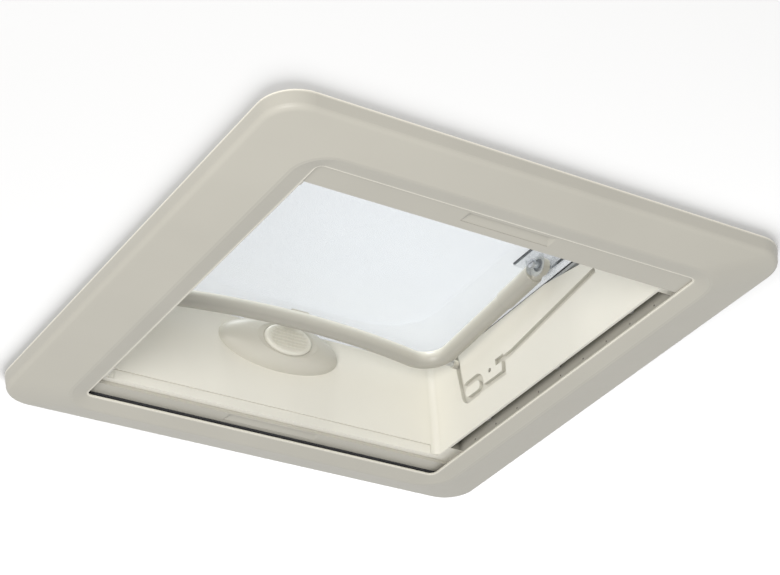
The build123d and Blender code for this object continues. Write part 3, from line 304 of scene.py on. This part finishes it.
def clear_acrylic(name, tint, alpha):
    """Clear pane: lets most light through, with a gloss and faint drawn waves."""
    m = Nodes(name)
    m.set(Base_Color=tint, Roughness=0.06, Alpha=alpha, Specular_IOR_Level=0.6)
    wave = m.noise(6.0, detail=1.0)
    ripple = m.bump(wave.outputs["Fac"], 0.0012)
    m.join(ripple.outputs["Normal"], m.shader.inputs["Normal"])
    return m.material


def rubber(name, color):
    """Matt rubber with a bloom of dust."""
    m = Nodes(name)
    dust_and_crease_shade = m.noise(60.0, detail=5.0)
    tone = m.ramp(dust_and_crease_shade.outputs["Fac"], color, shade(color, 2.2), 0.45, 0.8)
    m.join(tone.outputs["Color"], m.shader.inputs["Base Color"])
    grain = m.noise(900.0)
    m.join(m.bump(grain.outputs["Fac"], 0.00005).outputs["Normal"], m.shader.inputs["Normal"])
    m.set(Roughness=0.72)
    return m.material


def plated_steel(name, color, roughness, scale):
    """Plated steel with a fine drawn and mottled surface."""
    m = Nodes(name)
    mottle = m.noise(scale, detail=6.0)
    tone = m.ramp(mottle.outputs["Fac"], shade(color, 0.82), shade(color, 1.12))
    m.join(tone.outputs["Color"], m.shader.inputs["Base Color"])
    rough = m.remap(mottle.outputs["Fac"], roughness - 0.08, roughness + 0.1)
    m.join(rough, m.shader.inputs["Roughness"])
    fine = m.noise(2200.0)
    m.join(m.bump(fine.outputs["Fac"], 0.00003).outputs["Normal"], m.shader.inputs["Normal"])
    m.set(Metallic=1.0)
    return m.material


def pleated_fabric(name, color, weave_scale, alpha=1.0):
    """Thin pleated cloth with its weave."""
    m = Nodes(name)
    warp = m.add("ShaderNodeTexWave", bands_direction="X", Scale=weave_scale, Distortion=0.3)
    weft = m.add("ShaderNodeTexWave", bands_direction="Y", Scale=weave_scale, Distortion=0.3)
    m.join(m.coordinates.outputs["Object"], warp.inputs["Vector"])
    m.join(m.coordinates.outputs["Object"], weft.inputs["Vector"])
    mix = m.add("ShaderNodeMath", operation="MULTIPLY")
    m.join(warp.outputs["Fac"], mix.inputs[0])
    m.join(weft.outputs["Fac"], mix.inputs[1])
    tone = m.ramp(mix.outputs["Value"], shade(color, 0.8), shade(color, 1.1), 0.1, 0.9)
    m.join(tone.outputs["Color"], m.shader.inputs["Base Color"])
    m.join(m.bump(mix.outputs["Value"], 0.0001).outputs["Normal"], m.shader.inputs["Normal"])
    m.set(Roughness=0.85, Alpha=alpha, Sheen_Weight=0.25)
    return m.material


def put_on(material, *objects):
    """The objects get this one material."""
    for piece in objects:
        piece.data.materials.clear()
        piece.data.materials.append(material)


def lamp(name, place, size, power, color):
    """Round area lamp that looks at the hatch."""
    data = bpy.data.lights.new(name, "AREA")
    data.shape = "DISK"
    data.size = size
    data.energy = power
    data.color = color
    light = bpy.data.objects.new(name, data)
    light.location = place
    light.rotation_euler = (LAMP_AIM - place).to_track_quat("-Z", "Y").to_euler()
    bpy.context.scene.collection.objects.link(light)
    return light


def light_hatch():
    """Soft studio light from the room, and light from the sky through the dome."""
    lamp("key_lamp", KEY_PLACE, KEY_SIZE, KEY_POWER, KEY_COLOR)
    lamp("sky_lamp", SKY_PLACE, SKY_SIZE, SKY_POWER, SKY_COLOR)


def white_room():
    """Surroundings that show white, and light the hatch more from below than from above."""
    world = bpy.data.worlds.new("white_room")
    world.use_nodes = True
    tree = world.node_tree
    tree.nodes.clear()
    path = tree.nodes.new("ShaderNodeLightPath")
    seen = tree.nodes.new("ShaderNodeMath")
    seen.operation = "MAXIMUM"
    tree.links.new(path.outputs["Is Camera Ray"], seen.inputs[0])
    tree.links.new(path.outputs["Is Glossy Ray"], seen.inputs[1])
    through = tree.nodes.new("ShaderNodeMath")
    through.operation = "MAXIMUM"
    tree.links.new(seen.outputs[0], through.inputs[0])
    tree.links.new(path.outputs["Is Transmission Ray"], through.inputs[1])
    light = tree.nodes.new("ShaderNodeBackground")
    light.inputs["Color"].default_value = (1, 1, 1, 1)
    toward = tree.nodes.new("ShaderNodeTexCoord")
    split = tree.nodes.new("ShaderNodeSeparateXYZ")
    tree.links.new(toward.outputs["Generated"], split.inputs[0])
    level = tree.nodes.new("ShaderNodeMapRange")
    level.inputs["From Min"].default_value = -HORIZON_BAND
    level.inputs["From Max"].default_value = HORIZON_BAND
    level.inputs["To Min"].default_value = ROOM_LIGHT
    level.inputs["To Max"].default_value = SKY_LIGHT
    tree.links.new(split.outputs["Z"], level.inputs["Value"])
    tree.links.new(level.outputs["Result"], light.inputs["Strength"])
    white = tree.nodes.new("ShaderNodeBackground")
    white.inputs["Color"].default_value = (1, 1, 1, 1)
    white.inputs["Strength"].default_value = 1.0
    mix = tree.nodes.new("ShaderNodeMixShader")
    tree.links.new(through.outputs[0], mix.inputs[0])
    tree.links.new(light.outputs[0], mix.inputs[1])
    tree.links.new(white.outputs[0], mix.inputs[2])
    output = tree.nodes.new("ShaderNodeOutputWorld")
    tree.links.new(mix.outputs[0], output.inputs["Surface"])
    bpy.context.scene.world = world


def one_sided(name, color, glow):
    """Stage surface that shows only on its front side and lets the lamps' light pass."""
    m = Nodes(name)
    m.set(Base_Color=color, Roughness=0.9, Specular_IOR_Level=0.0)
    m.set(Emission_Color=(1, 1, 1, 1), Emission_Strength=glow)
    clear = m.add("ShaderNodeBsdfTransparent")
    path = m.add("ShaderNodeLightPath")
    side = m.add("ShaderNodeNewGeometry")
    front = m.add("ShaderNodeMath", operation="SUBTRACT")
    front.inputs[0].default_value = 1.0
    m.join(side.outputs["Backfacing"], front.inputs[1])
    seen = m.add("ShaderNodeMath", operation="MULTIPLY")
    m.join(path.outputs["Is Camera Ray"], seen.inputs[0])
    m.join(front.outputs[0], seen.inputs[1])
    mix = m.add("ShaderNodeMixShader")
    m.join(seen.outputs[0], mix.inputs[0])
    m.join(clear.outputs[0], mix.inputs[1])
    m.join(m.shader.outputs[0], mix.inputs[2])
    m.join(mix.outputs[0], m.output.inputs["Surface"])
    return m.material


def finish_piece(bm, name, material):
    """Write a bmesh to a new object with its faces outward."""
    bmesh.ops.recalc_face_normals(bm, faces=bm.faces[:])
    mesh = bpy.data.meshes.new(name)
    bm.to_mesh(mesh)
    bm.free()
    piece = bpy.data.objects.new(name, mesh)
    bpy.context.scene.collection.objects.link(piece)
    put_on(material, piece)
    return piece


def pleated_cloth(name, node, bar_end, material):
    """Blind's cloth, pleated in folds from its cassette to its pull bar."""
    low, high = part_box(node)
    cassette_end = low.y + high.y - bar_end
    folds = 2 * PLEATS
    bm = bmesh.new()
    z_places = (low.z + CLOTH_THICKNESS, high.z - CLOTH_THICKNESS)
    ends = [bm.verts.new((x, cassette_end, z_places[0])) for x in (low.x, high.x)]
    front = [bm.edges.new(ends)]
    place = Vector((0, cassette_end, z_places[0]))
    # Folds lie closer near both ends
    for fold in range(1, folds + 1):
        share = fold / folds
        along = 0.5 - sin(asin(1 - 2 * share) / 3)
        target = Vector((0, cassette_end + along * (bar_end - cassette_end), z_places[fold % 2]))
        made = bmesh.ops.extrude_edge_only(bm, edges=front)["geom"]
        front = [item for item in made if isinstance(item, bmesh.types.BMEdge)]
        moved = [item for item in made if isinstance(item, bmesh.types.BMVert)]
        bmesh.ops.translate(bm, verts=moved, vec=target - place)
        place = target
    piece = finish_piece(bm, name, material)
    wall = piece.modifiers.new("cloth", "SOLIDIFY")
    wall.thickness = CLOTH_THICKNESS
    wall.offset = 0.0
    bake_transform(piece)
    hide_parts(node)


def return_spring(name, node, material):
    """Coil spring behind the button, taken from the model with its doubled points merged."""
    bm = bmesh.new()
    bm.from_mesh(nodes[node].data)
    bmesh.ops.remove_doubles(bm, verts=bm.verts[:], dist=MERGE_DISTANCE)
    piece = finish_piece(bm, name, material)
    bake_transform(piece)
    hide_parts(node)


def stage_plane(name, z, hole_half, faces_down, material):
    """Large plane with a square hole in its middle."""
    bm = bmesh.new()
    bmesh.ops.create_grid(bm, x_segments=1, y_segments=1, size=STAGE_HALF)
    if hole_half:
        rim = STAGE_HALF - hole_half
        bmesh.ops.inset_region(
            bm, faces=bm.faces[:], thickness=rim, use_boundary=True, use_even_offset=True
        )
        inner = min(bm.faces, key=lambda face: face.calc_area())
        bmesh.ops.delete(bm, geom=[inner], context="FACES_ONLY")
    if faces_down:
        bmesh.ops.reverse_faces(bm, faces=bm.faces[:])
    bmesh.ops.translate(bm, verts=bm.verts[:], vec=(0, 0, z))
    mesh = bpy.data.meshes.new(name)
    bm.to_mesh(mesh)
    bm.free()
    plane = bpy.data.objects.new(name, mesh)
    bpy.context.scene.collection.objects.link(plane)
    mesh.materials.append(material)
    return plane


def shade_ceiling(ceiling):
    """Lamp for the ceiling alone, so that the trim's soft shadow falls toward the camera."""
    light = lamp("ceiling_lamp", CEILING_LAMP_PLACE, CEILING_LAMP_SIZE, CEILING_LAMP_POWER, (1, 1, 1))
    lit = bpy.data.collections.new("lit_by_ceiling_lamp")
    lit.objects.link(ceiling)
    light.light_linking.receiver_collection = lit


bpy.context.scene.view_settings.view_transform = "Standard"
view_camera()
light_hatch()
white_room()
ceiling_white = one_sided("ceiling_white", CEILING_GREY, CEILING_GLOW)
floor_white = one_sided("floor_white", FLOOR_GREY, FLOOR_GLOW)
shade_ceiling(stage_plane("ceiling_panel", CEILING_Z, CUTOUT_HALF, True, ceiling_white))
stage_plane("floor", -FLOOR_DROP, 0.0, False, floor_white)

cream = moulded_plastic("cream_plastic", CREAM)
# Trim: painted highlight along its lip
trim_cream = moulded_plastic("trim_plastic", CREAM, edge=EDGE_RADIUS)
# Rails: darker cream as painted shade of their channel
rail_shaded_cream = moulded_plastic("rail_plastic_shaded", RAIL_SHADED_CREAM)
housing_cream = moulded_plastic("housing_plastic", HOUSING_CREAM)
# Button and liner: weaker painted shade in their creases
button_cream = moulded_plastic("button_plastic", BUTTON_CREAM, crease_shade_tone=BUTTON_CREASE_SHADE)
liner_cream = moulded_plastic("liner_plastic", LINER_CREAM, crease_shade_tone=LINER_CREASE_SHADE)
# Handle: painted light on its upper side, painted shade below
handle_cream = moulded_plastic("handle_plastic", HANDLE_CREAM, roughness=0.36, top_lit=True)
frame_white = moulded_plastic("frame_plastic", FRAME_WHITE, roughness=0.5)
pane = clear_acrylic("clear_acrylic", PANE_TINT, PANE_ALPHA)
bracket_clear = clear_acrylic("bracket_acrylic", PANE_TINT, BRACKET_ALPHA)
black = rubber("black_rubber", RUBBER_BLACK)
zinc = plated_steel("zinc_steel", ZINC, 0.3, 400.0)
galvanised = plated_steel("galvanised_steel", GALVANISED, 0.42, 120.0)
blackout = pleated_fabric("blackout_fabric", CLOTH_CREAM, WEAVE_SCALE)
netting = pleated_fabric("mesh_fabric", MESH_GREY, WEAVE_SCALE, alpha=0.5)

by_slot = {
    "cream_plastic": cream,
    "liner_plastic": liner_cream,
    "handle_plastic": handle_cream,
    "frame_plastic": frame_white,
    "clear_acrylic": pane,
    "black_rubber": black,
    "zinc_steel": zinc,
    "galvanised_steel": galvanised,
    "blackout_fabric": blackout,
    "mesh_fabric": netting,
}
for node, slot in frame_slots.items():
    put_on(by_slot[slot], nodes[node])
put_on(bracket_clear, nodes["bow_bracket_left"], nodes["bow_bracket_right"])
put_on(trim_cream, nodes["ceiling_trim"])
put_on(rail_shaded_cream, nodes["blind_rail_left"], nodes["blind_rail_right"])
put_on(housing_cream, nodes["lock_housing"])
put_on(button_cream, nodes["lock_button"])

rear_bar_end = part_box("blackout_cloth")[0].y
front_bar_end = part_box("flyscreen_cloth")[1].y
pleated_cloth(
    "pleated_blackout", "blackout_cloth", rear_bar_end, blackout
)
pleated_cloth(
    "pleated_flyscreen", "flyscreen_cloth", front_bar_end, netting
)
return_spring("coil_spring", "button_spring", zinc)
